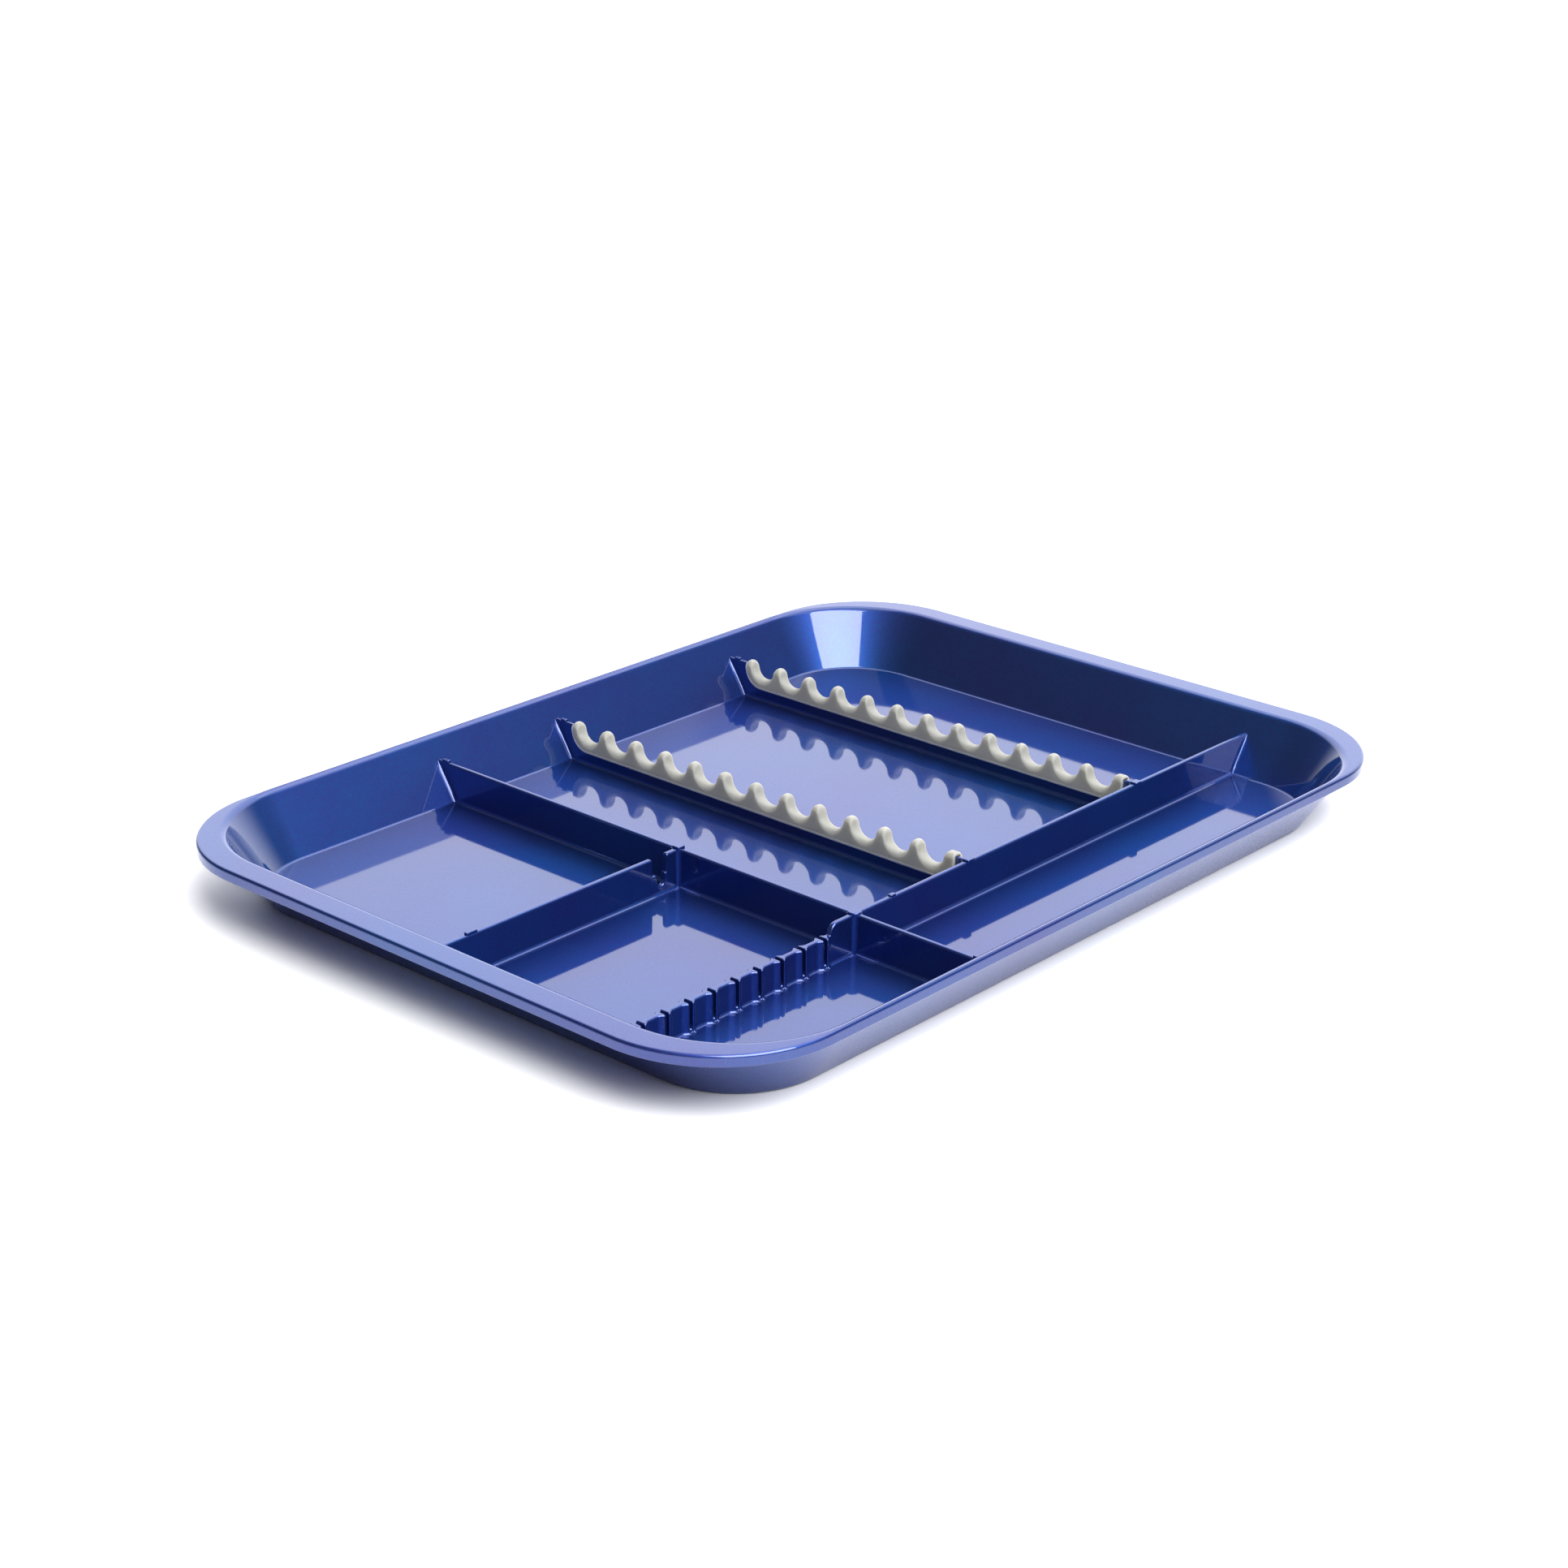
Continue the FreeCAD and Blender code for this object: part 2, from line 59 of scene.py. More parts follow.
# Shell
DRAFT = math.radians(33.3)
WALL = 2.2
FLOOR = 2.2
SHEET = 2.0
RIM_RADIUS = 42.0
LIP = 3.7
LIP_ROUND = 0.5
LIP_BEVEL = 0.4
LIP_BEVEL_GAP = 0.3
HOLLOW_GAP = 0.05
SIDE_LIP = 2.9
END_FLANGE = 9.7
SIDE_FLANGE = 2.3
CAVITY_RADIUS = 41.0
RIM_FILLET = 3.0
RIM_ROUND = 1.1
BASE_ROUND = 2.0
FOOT = 1.3

# Dividers
DIVIDER_TOP = 15.0
DIVIDER_HALF = 0.9
TOP_ROUND = 0.7
TOP_ROUND_SHARE = 0.8
DIVIDER_DRAFT = 0.12
DIVIDER_ROOT = 0.8
FOOT_SHARE = 0.45
LEAST_FOOT = 0.02
LEAST_RISE = 0.2
ENTRY_RISE = 0.7
SLOPE_SHARES = (0.0, 0.2, 0.4, 0.6, 0.75, 0.88)
LEVEL = 0.01
LEAST_STEP = 0.02
CROSS_X = -52.4
LONG_Y = -65.9
SHORT_Y = 6.0

# Notch in the short divider
NOTCH_LEFT = -65.2
NOTCH_RIGHT = -58.6
NOTCH_SLOT_LEFT = -63.0
NOTCH_SLOT_RIGHT = -59.4
NOTCH_STEP = 9.0
NOTCH_BOTTOM = 5.0
NOTCH_LEAN = 0.1
NOTCH_MOUTH_ROUND = 0.6
NOTCH_CORNER_ROUND = 0.4
NOTCH_STEP_ROUND = 0.5
NOTCH_LEDGE_ROUND = 0.15
NOTCH_BOTTOM_ROUND = 1.5

# Slotted divider
SLOTTED_TOP = 11.6
SHOULDER_REACH = 11.7
SHOULDER_ROUND = 3.0
SHOULDER_FOOT_ROUND = 0.5
SHOULDER_LEAN = 0.6
SLOTTED_FOOT = 1.0
SLOT_COUNT = 9
SLOT_PITCH = 9.6
FIRST_SLOT_X = -67.3
SLOT_HALF = 0.675
SLOT_BOTTOM = 3.2
SLOT_BOTTOM_ROUND = SLOT_HALF * 0.9
SLOT_EDGE_ROUND = 0.35
SLOT_MOUTH_ROUND = 0.3
SLOT_LEAN = 0.01
LIP_HALF = 1.9
LIP_REACH = 1.3
LIP_FLARE = 2.5
LIP_OFFSETS = (1.3, 1.7, 2.2, 2.7, 3.3)

# Lugs and boss on top of the dividers, and the columns where dividers meet
LUG_LOW = DIVIDER_TOP - 1.0
LUG_RISE = 0.7
LUG_WIDTH = 2 * DIVIDER_HALF - 0.3
LUG_ROUND = 0.25
LUG_CORNER = 0.35
SHORT_LUG_X = -140.1
SHORT_LUG_LENGTH = 4.3
LONG_LUG_X = -35.0
LONG_LUG_LENGTH = 2.4
LONG_LUG_RISE = 0.5
MIDDLE_LUG = 3.0
CROSS_LUG_Y = 112.5
CROSS_LUG_LENGTH = 3.0
RIB_LUG_Y = 112.0
RIB_LUG_LENGTH = 2.4
JUNCTION_LUG_WIDTH = 3.2
JUNCTION_LUG_LENGTH = 2.6
BOSS_RADIUS = 2.15
BOSS_RISE = 0.6
BOSS_ROUND = 0.4
COLUMN_ROOT = 0.3
COLUMN_LOW = FLOOR - 0.5
COLUMN_HIGH = DIVIDER_TOP - 0.35
SHORT_COLUMN = 1.8
CROSS_COLUMN = 2.0
RIB_COLUMN = 1.5

# Scallops and strips
SCALLOP_COUNT = 12
SCALLOP_PITCH = 13.7
FIRST_SCALLOP_Y = 98.15
SCALLOP_CENTRE = 15.6
SCALLOP_RADIUS = 5.3
CREST_RADIUS = 1.5
STRIP_TOP = 16.2
STRIP_BOTTOM = 6.8
STRIP_SKIN = 0.9
STRIP_HALF = 2.4
STRIP_SIDE = 2.27
STRIP_SEAM = 0.75
SEAM_BELOW = 0.1
SEAM_ABOVE = 0.15
STRIP_SHOULDER = 1.95
STRIP_EDGE = 0.2
STRIP_TIP = 0.7
CHANNEL_HALF = 1.2
STRIP_CORNER = 7.0
FIT = 0.3
LEAST_CHANNEL = 0.05
LEAST_COVER = 0.5

# How finely round shapes are divided
CORNER_STEPS = 24
RIM_STEPS = 8
ROUND_STEPS = 6
SECTION_STEPS = 5
EDGE_STEPS = 4
SHOULDER_STEPS = 9
SHARP_EDGE = math.radians(38)
MERGE_WITHIN = 0.002
SHORTEST_EDGE = 0.001
TINY = 1e-9

SIDE_X = HALF_LENGTH - END_FLANGE
SIDE_Y = HALF_WIDTH - SIDE_FLANGE
CORNER_X = SIDE_X - CAVITY_RADIUS
CORNER_Y = SIDE_Y - CAVITY_RADIUS
SLANT_WALL = WALL / math.cos(DRAFT)


# ---------------------------------------------------------------- mesh helpers

def arc(centre, radius, first, last, steps):
    """Points (across, up) on an arc, by angle in degrees, both ends included."""
    points = []
    for step in range(steps + 1):
        turn = math.radians(first + (last - first) * step / steps)
        points.append((centre[0] + radius * math.cos(turn), centre[1] + radius * math.sin(turn)))
    return points


def loft(mesh, sections, close_start=True, close_end=True):
    """Skin equal-length closed sections with quads and cap both ends."""
    rows = [[mesh.verts.new(Vector(point) * MM) for point in section] for section in sections]
    count = len(rows[0])
    for row, following in zip(rows, rows[1:]):
        for number in range(count):
            after = (number + 1) % count
            mesh.faces.new((row[number], row[after], following[after], following[number]))
    if close_start:
        mesh.faces.new(list(reversed(rows[0])))
    if close_end:
        mesh.faces.new(rows[-1])


def finish_piece(mesh, name, material, body, node):
    """Turn a bmesh into a piece that rides on a body and stands for a CAD node."""
    bmesh.ops.remove_doubles(mesh, verts=mesh.verts, dist=MERGE_WITHIN * MM)
    bmesh.ops.dissolve_degenerate(mesh, edges=mesh.edges, dist=SHORTEST_EDGE * MM)
    bmesh.ops.recalc_face_normals(mesh, faces=mesh.faces)
    data = bpy.data.meshes.new(name)
    mesh.to_mesh(data)
    mesh.free()
    data.polygons.foreach_set("use_smooth", [True] * len(data.polygons))
    data.set_sharp_from_angle(angle=SHARP_EDGE)
    piece = bpy.data.objects.new(name, data)
    bpy.context.scene.collection.objects.link(piece)
    data.materials.append(material)
    weighting = piece.modifiers.new("weighted_normals", "WEIGHTED_NORMAL")
    weighting.keep_sharp = True
    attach(piece, body)
    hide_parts(node)
    return piece


# ---------------------------------------------------------------- tray shell

def ray_to_outline(origin, turn, half_x, half_y, radius):
    """Where a ray from a corner's centre meets a rounded rectangle about the origin."""
    way = (math.cos(turn), math.sin(turn))
    centre = (half_x - radius, half_y - radius)
    if way[0] > TINY:
        reach = (half_x - origin[0]) / way[0]
        side = origin[1] + reach * way[1]
        if side <= centre[1]:
            return half_x, side
    if way[1] > TINY:
        reach = (half_y - origin[1]) / way[1]
        side = origin[0] + reach * way[0]
        if side <= centre[0]:
            return side, half_y
    offset = (origin[0] - centre[0], origin[1] - centre[1])
    along = offset[0] * way[0] + offset[1] * way[1]
    gap = offset[0] ** 2 + offset[1] ** 2 - radius ** 2
    reach = -along + math.sqrt(along * along - gap)
    return origin[0] + reach * way[0], origin[1] + reach * way[1]


def ring(half_x, half_y, radius, height, beyond=None):
    """A rounded rectangle at a height; beyond keeps it outside another outline."""
    quarter = []
    origin = (CORNER_X, CORNER_Y)
    for step in range(CORNER_STEPS + 1):
        turn = math.pi / 2 * step / CORNER_STEPS
        x, y = ray_to_outline(origin, turn, half_x, half_y, radius)
        if beyond:
            far_x, far_y = ray_to_outline(origin, turn, *beyond)
            if math.hypot(far_x - origin[0], far_y - origin[1]) > math.hypot(x - origin[0], y - origin[1]):
                x, y = far_x, far_y
        quarter.append((x, y))
    points = [(x, y, height) for x, y in quarter]
    points += [(-x, y, height) for x, y in reversed(quarter)]
    points += [(-x, -y, height) for x, y in quarter]
    points += [(x, -y, height) for x, y in reversed(quarter)]
    return points


def cavity_ring(inset, height):
    return ring(SIDE_X - inset, SIDE_Y - inset, CAVITY_RADIUS - inset, height)


def rim_ring(inset, height):
    return ring(HALF_LENGTH - inset, HALF_WIDTH - inset, RIM_RADIUS - inset, height)


def outer_wall(height):
    """Half sizes and corner radius of the outside of the walls at a height."""
    inset = (HEIGHT - height) * math.tan(DRAFT) - SLANT_WALL
    return SIDE_X - inset, SIDE_Y - inset, CAVITY_RADIUS - inset


def inner_height(reach):
    """Height of the inside surface at a distance out from the corner centres."""
    return max(FLOOR, HEIGHT - (CAVITY_RADIUS - reach) / math.tan(DRAFT))


def build_shell(mesh):
    """Floor, drafted walls, flange, turned-down lip and underside as one skin."""
    slope = math.pi / 2 - DRAFT
    degrees = math.degrees(slope)
    rings = []
    floor_inset = (HEIGHT - FLOOR) * math.tan(DRAFT)
    foot_centre = (floor_inset + FOOT * math.tan(slope / 2), FLOOR + FOOT)
    for across, up in arc(foot_centre, FOOT, 270, 270 - degrees, ROUND_STEPS):
        rings.append(cavity_ring(across, up))
    rim_centre = (-RIM_FILLET * math.tan(slope / 2), HEIGHT - RIM_FILLET)
    for across, up in arc(rim_centre, RIM_FILLET, 90 - degrees, 90, RIM_STEPS):
        rings.append(cavity_ring(across, up))
    for across, up in arc((RIM_ROUND, HEIGHT - RIM_ROUND), RIM_ROUND, 90, 180, ROUND_STEPS):
        rings.append(rim_ring(across, up))
    low = HEIGHT - LIP
    for across, up in arc((LIP_ROUND, low + LIP_ROUND), LIP_ROUND, 180, 270, EDGE_STEPS):
        rings.append(rim_ring(across, up))
    lip_inner = (HALF_LENGTH - SHEET, HALF_WIDTH - SIDE_LIP, RIM_RADIUS - SHEET)
    lip_edge = [size + LIP_BEVEL for size in lip_inner]
    beyond = [size + HOLLOW_GAP for size in outer_wall(low)]
    rings.append(ring(*lip_edge, low, beyond=[size + LIP_BEVEL_GAP for size in beyond]))
    rings.append(ring(*lip_inner, low + LIP_BEVEL, beyond=beyond))
    hollow_top = HEIGHT - SHEET
    rings.append(ring(*lip_inner, hollow_top, beyond=[size + HOLLOW_GAP for size in outer_wall(hollow_top)]))
    rings.append(ring(*outer_wall(hollow_top), hollow_top))
    rings.append(ring(*outer_wall(low), low))
    base_inset = HEIGHT * math.tan(DRAFT) - SLANT_WALL
    base_centre = (base_inset + BASE_ROUND * math.tan(slope / 2), BASE_ROUND)
    for across, up in arc(base_centre, BASE_ROUND, 270 - degrees, 270, ROUND_STEPS):
        rings.append(cavity_ring(across, up))
    loft(mesh, rings)


# ---------------------------------------------------------------- dividers

def ridge_section(half, top, base, foot):
    """Half of a divider's section, from the foot's outer edge to the top's middle."""
    room = max(LEAST_FOOT, (top - base) * FOOT_SHARE)
    foot = min(foot, room)
    bend = min(TOP_ROUND, half * TOP_ROUND_SHARE)
    wide = half + DIVIDER_DRAFT
    points = [(wide + foot, base - DIVIDER_ROOT)]
    points += arc((wide + foot, base + foot), foot, 270, 180, SECTION_STEPS)
    points += arc((half - bend, top - bend), bend, 0, 90, SECTION_STEPS)
    return points


def ridge(mesh, axis, place, stations, foot=FOOT):
    """A divider along an axis; stations are (along, top, base, half thickness)."""
    sections = []
    for along, top, base, half in stations:
        base = min(base, top - LEAST_RISE)
        side = ridge_section(half, top, base, foot)
        low = min(base - DIVIDER_ROOT, top - LEAST_RISE / 2)
        outline = [(across, max(up, low)) for across, up in side]
        outline[0] = (outline[0][0], low)
        outline += [(-across, up) for across, up in reversed(outline)]
        if axis == "Y":
            sections.append([(place + across, along, up) for across, up in outline])
        else:
            sections.append([(along, place + across, up) for across, up in outline])
    loft(mesh, sections)


def rounded_path(points, steps=4):
    """Round the corners of an open (along, up) path; each point is (along, up, radius)."""
    path = [points[0][:2]]
    for before, point, after in zip(points, points[1:], points[2:]):
        corner = Vector(point[:2])
        back = (Vector(before[:2]) - corner).normalized()
        ahead = (Vector(after[:2]) - corner).normalized()
        radius = point[2]
        if radius <= 0:
            path.append(tuple(corner))
            continue
        half_turn = back.angle(ahead) / 2
        reach = radius / math.tan(half_turn)
        start = corner + back * reach
        end = corner + ahead * reach
        centre = corner + (back + ahead).normalized() * radius / math.sin(half_turn)
        first = math.atan2(start.y - centre.y, start.x - centre.x)
        last = math.atan2(end.y - centre.y, end.x - centre.x)
        turn = (last - first + math.pi) % (2 * math.pi) - math.pi
        for step in range(steps + 1):
            angle = first + turn * step / steps
            path.append((centre.x + radius * math.cos(angle), centre.y + radius * math.sin(angle)))
    path.append(points[-1][:2])
    return path


def base_under(along, corner):
    return inner_height(abs(along) - corner)


def wall_entry(corner, top):
    """How far out a divider of a given top runs before it is buried in the slope."""
    return corner + CAVITY_RADIUS - (HEIGHT - top - ENTRY_RISE) * math.tan(DRAFT)


def slope_stations(corner, top, side):
    """Extra places along a divider where it starts to climb the drafted side."""
    floor_edge = corner + CAVITY_RADIUS - (HEIGHT - FLOOR) * math.tan(DRAFT)
    end = wall_entry(corner, top)
    buried = (top - LEAST_RISE - FLOOR) / (top + ENTRY_RISE - FLOOR)
    return [side * (floor_edge + (end - floor_edge) * share) for share in (*SLOPE_SHARES, buried, 1.0)]


def build_cross_divider(mesh):
    ends = slope_stations(CORNER_Y, DIVIDER_TOP, -1)[::-1] + slope_stations(CORNER_Y, DIVIDER_TOP, 1)
    stations = [(along, DIVIDER_TOP, base_under(along, CORNER_Y), DIVIDER_HALF) for along in ends]
    ridge(mesh, "Y", CROSS_X, stations)


def build_long_divider(mesh):
    places = [CROSS_X, CROSS_X + 4] + slope_stations(CORNER_X, DIVIDER_TOP, 1)
    stations = [(along, DIVIDER_TOP, base_under(along, CORNER_X), DIVIDER_HALF) for along in places]
    ridge(mesh, "X", LONG_Y, stations)


def build_short_divider(mesh):
    """Short divider with a stepped round-bottomed notch beside the middle."""
    start = slope_stations(CORNER_X, DIVIDER_TOP, -1)[::-1]
    outline = [
        (start[-1], DIVIDER_TOP, 0),
        (NOTCH_LEFT, DIVIDER_TOP, NOTCH_MOUTH_ROUND),
        (NOTCH_LEFT + NOTCH_LEAN, NOTCH_STEP, NOTCH_CORNER_ROUND),
        (NOTCH_SLOT_LEFT, NOTCH_STEP, NOTCH_STEP_ROUND),
        (NOTCH_SLOT_LEFT + NOTCH_LEAN, NOTCH_BOTTOM, NOTCH_BOTTOM_ROUND),
        (NOTCH_SLOT_RIGHT - NOTCH_LEAN, NOTCH_BOTTOM, NOTCH_BOTTOM_ROUND),
        (NOTCH_SLOT_RIGHT, NOTCH_STEP, NOTCH_LEDGE_ROUND),
        (NOTCH_RIGHT - NOTCH_LEAN, NOTCH_STEP, NOTCH_LEDGE_ROUND),
        (NOTCH_RIGHT, DIVIDER_TOP, NOTCH_MOUTH_ROUND),
        (CROSS_X, DIVIDER_TOP, 0),
    ]
    path = [(along, DIVIDER_TOP) for along in start[:-1]] + rounded_path(outline)
    stations = [(along, top, base_under(along, CORNER_X), DIVIDER_HALF) for along, top in path]
    ridge(mesh, "X", SHORT_Y, stations)


def slot_half_thickness(offset):
    """Half thickness of the slotted divider at a distance from a slot's middle."""
    offset = abs(offset)
    mouth_end = SLOT_HALF + SLOT_MOUTH_ROUND
    if offset < mouth_end:
        inset = max(0.0, mouth_end - max(offset, SLOT_HALF))
        return LIP_HALF - SLOT_MOUTH_ROUND + math.sqrt(max(0.0, SLOT_MOUTH_ROUND ** 2 - inset ** 2))
    rise = LIP_HALF - DIVIDER_HALF
    far = LIP_REACH + math.sqrt(2 * LIP_FLARE * rise - rise ** 2)
    if offset <= LIP_REACH:
        return LIP_HALF
    if offset >= far:
        return DIVIDER_HALF
    return DIVIDER_HALF + LIP_FLARE - math.sqrt(LIP_FLARE ** 2 - (far - offset) ** 2)


def merge_paths(path, extra):
    """Insert extra flat stations into a path where they fall between two of its points."""
    merged = list(path)
    for along, top in extra:
        for number in range(len(merged) - 1):
            here = merged[number]
            after = merged[number + 1]
            flat = abs(here[1] - top) < LEVEL and abs(after[1] - top) < LEVEL
            if flat and here[0] + LEAST_STEP < along < after[0] - LEAST_STEP:
                merged.insert(number + 1, (along, top))
                break
    return merged


def build_slotted_divider(mesh):
    """Low divider with narrow slots between flared lips, and its rounded shoulder."""
    slots = [FIRST_SLOT_X - SLOT_PITCH * number for number in range(SLOT_COUNT)][::-1]
    start = slope_stations(CORNER_X, SLOTTED_TOP, -1)[::-1]
    outline = [(start[0], SLOTTED_TOP, 0)]
    for slot in slots:
        outline += [
            (slot - SLOT_HALF - SLOT_LEAN, SLOTTED_TOP, SLOT_EDGE_ROUND),
            (slot - SLOT_HALF, SLOT_BOTTOM, SLOT_BOTTOM_ROUND),
            (slot + SLOT_HALF, SLOT_BOTTOM, SLOT_BOTTOM_ROUND),
            (slot + SLOT_HALF + SLOT_LEAN, SLOTTED_TOP, SLOT_EDGE_ROUND),
        ]
    shoulder = CROSS_X - SHOULDER_REACH
    outline += [
        (shoulder, SLOTTED_TOP, SHOULDER_FOOT_ROUND),
        (shoulder + SHOULDER_LEAN, DIVIDER_TOP, SHOULDER_ROUND),
        (CROSS_X, DIVIDER_TOP, 0),
    ]
    extra = []
    for slot in slots:
        for offset in LIP_OFFSETS:
            extra += [(slot - offset, SLOTTED_TOP), (slot + offset, SLOTTED_TOP)]
    extra += [(along, SLOTTED_TOP) for along in start if along < slots[0] - LIP_OFFSETS[0]]
    stations = []
    for along, top in merge_paths(rounded_path(outline), extra):
        nearest = min(slots, key=lambda slot: abs(slot - along))
        half = slot_half_thickness(along - nearest)
        stations.append((along, top, base_under(along, CORNER_X), half))
    ridge(mesh, "X", LONG_Y, stations, foot=SLOTTED_FOOT)


def scallop_top(radius, crest_radius, top, count=8):
    """A scalloped top line along -Y: round dips between round crests."""
    reach = radius + crest_radius
    crest_up = top - crest_radius
    half_gap = math.sqrt(reach ** 2 - (SCALLOP_CENTRE - crest_up) ** 2)
    meet = math.atan2(crest_up - SCALLOP_CENTRE, half_gap)
    path = []
    for number in range(SCALLOP_COUNT):
        middle = FIRST_SCALLOP_Y - SCALLOP_PITCH * number
        before = arc((middle + half_gap, crest_up), crest_radius, 90, 180 + math.degrees(meet), 4)
        dip = arc((middle, SCALLOP_CENTRE), radius, math.degrees(meet), -180 - math.degrees(meet), count * 2)
        after = arc((middle - half_gap, crest_up), crest_radius, -math.degrees(meet), 90, 4)
        path += before + dip[1:-1] + after
    return path


def build_rib(mesh, place):
    entry = slope_stations(CORNER_Y, DIVIDER_TOP, 1)[::-1]
    path = [(along, DIVIDER_TOP) for along in entry]
    path += scallop_top(SCALLOP_RADIUS + STRIP_SKIN + FIT, CREST_RADIUS - STRIP_SKIN - FIT, DIVIDER_TOP, 5)
    path.append((LONG_Y, DIVIDER_TOP))
    stations = [(along, top, base_under(along, CORNER_Y), DIVIDER_HALF) for along, top in path]
    stations.sort(key=lambda station: -station[0])
    ridge(mesh, "Y", place, stations)


# ---------------------------------------------------------------- bosses, lugs, corner columns

def rounded_edge(low, high, bend, steps):
    """Insets and heights of an upright side with a round top edge."""
    rounded = [(bend - across, high - bend + up) for across, up in arc((0, 0), bend, 15, 90, steps)]
    return [(0.0, low), (0.0, high - bend)] + rounded


def block(mesh, x, y, size_x, size_y, high):
    """A small raised lug with rounded top edges and upright corners."""
    sections = []
    for inset, height in rounded_edge(LUG_LOW, high, LUG_ROUND, EDGE_STEPS):
        half_x = size_x / 2 - inset
        half_y = size_y / 2 - inset
        corner = min(LUG_CORNER, half_x / 2, half_y / 2)
        section = []
        for turn, (way_x, way_y) in zip((0, 90, 180, 270), ((1, 1), (-1, 1), (-1, -1), (1, -1))):
            centre = (x + way_x * (half_x - corner), y + way_y * (half_y - corner))
            section += [(px, py, height) for px, py in arc(centre, corner, turn, turn + 90, 3)]
        sections.append(section)
    loft(mesh, sections)


def round_boss(mesh, x, y, radius, low, high):
    """A round boss with a rounded top edge."""
    sections = []
    for inset, height in rounded_edge(low, high, BOSS_ROUND, SECTION_STEPS):
        sections.append([(px, py, height) for px, py in arc((x, y), radius - inset, 0, 345, 23)])
    loft(mesh, sections)


def corner_column(mesh, x, y, way_x, way_y, radius):
    """The upright round fillet where two dividers meet."""
    root = COLUMN_ROOT
    outline = [(-root, -root), (radius, -root), (radius, 0)]
    outline += arc((radius, radius), radius, 270, 180, 8)[1:-1]
    outline += [(0, radius), (-root, radius)]
    placed = [(x + way_x * across, y + way_y * along) for across, along in outline]
    loft(mesh, [[(px, py, height) for px, py in placed] for height in (COLUMN_LOW, COLUMN_HIGH)])


def build_details(mesh):
    """Lugs and the boss on top of the dividers, and the fillets where they meet."""
    lug_high = DIVIDER_TOP + LUG_RISE
    boss_high = DIVIDER_TOP + BOSS_RISE
    block(mesh, SHORT_LUG_X, SHORT_Y, SHORT_LUG_LENGTH, LUG_WIDTH, lug_high)
    block(mesh, LONG_LUG_X, LONG_Y, LONG_LUG_LENGTH, LUG_WIDTH, DIVIDER_TOP + LONG_LUG_RISE)
    block(mesh, CROSS_X, SHORT_Y, MIDDLE_LUG, MIDDLE_LUG, lug_high)
    for side in (-1, 1):
        block(mesh, CROSS_X, side * CROSS_LUG_Y, LUG_WIDTH, CROSS_LUG_LENGTH, lug_high)
    for place in RIB_PLACES:
        block(mesh, place, RIB_LUG_Y, LUG_WIDTH, RIB_LUG_LENGTH, boss_high)
        block(mesh, place, LONG_Y, JUNCTION_LUG_WIDTH, JUNCTION_LUG_LENGTH, boss_high)
    round_boss(mesh, CROSS_X, LONG_Y, BOSS_RADIUS, COLUMN_LOW, boss_high)
    for way_y in (-1, 1):
        corner_column(mesh, CROSS_X - DIVIDER_HALF, SHORT_Y + way_y * DIVIDER_HALF, -1, way_y, SHORT_COLUMN)
        for way_x in (-1, 1):
            column = (CROSS_X + way_x * DIVIDER_HALF, LONG_Y + way_y * DIVIDER_HALF)
            corner_column(mesh, *column, way_x, way_y, CROSS_COLUMN)
    for place in RIB_PLACES:
        for way_x in (-1, 1):
            corner_column(mesh, place + way_x * DIVIDER_HALF, LONG_Y + DIVIDER_HALF, way_x, 1, RIB_COLUMN)


def build_tray(material):
    mesh = bmesh.new()
    build_shell(mesh)
    build_cross_divider(mesh)
    build_long_divider(mesh)
    build_short_divider(mesh)
    build_slotted_divider(mesh)
    for place in RIB_PLACES:
        build_rib(mesh, place)
    build_details(mesh)
    return finish_piece(mesh, "tray_moulding", material, "tray", "tray")


# ---------------------------------------------------------------- strips

def channel_top(along):
    """Height of the strip's inside over the rib at a place along it."""
    flat = DIVIDER_TOP + FIT
    number = round((FIRST_SCALLOP_Y - along) / SCALLOP_PITCH)
    number = min(max(number, 0), SCALLOP_COUNT - 1)
    offset = abs(along - (FIRST_SCALLOP_Y - SCALLOP_PITCH * number))
    radius = SCALLOP_RADIUS + STRIP_SKIN
    if offset >= radius:
        return flat
    return min(flat, SCALLOP_CENTRE - math.sqrt(radius ** 2 - offset ** 2))


def strip_section(along, top, below):
    """Outline of a strip across its length: rounded shoulders round an open channel."""
    inside = max(below + LEAST_CHANNEL, min(channel_top(along), top - LEAST_COVER))
    seam = below + STRIP_SEAM
    half = [(CHANNEL_HALF, below), (STRIP_HALF - STRIP_EDGE, below)]
    half += arc((STRIP_HALF - STRIP_EDGE, below + STRIP_EDGE), STRIP_EDGE, 300, 360, 3)
    half += [(STRIP_HALF, seam - SEAM_BELOW), (STRIP_SIDE, seam), (STRIP_SIDE, seam + SEAM_ABOVE)]
    shoulder = min(STRIP_SHOULDER, top - seam - STRIP_EDGE)
    half += arc((STRIP_SIDE - shoulder, top - shoulder), shoulder, 0, 90, SHOULDER_STEPS)
    outline = half + [(-across, up) for across, up in reversed(half)]
    return outline + [(-CHANNEL_HALF, inside), (CHANNEL_HALF, inside)]


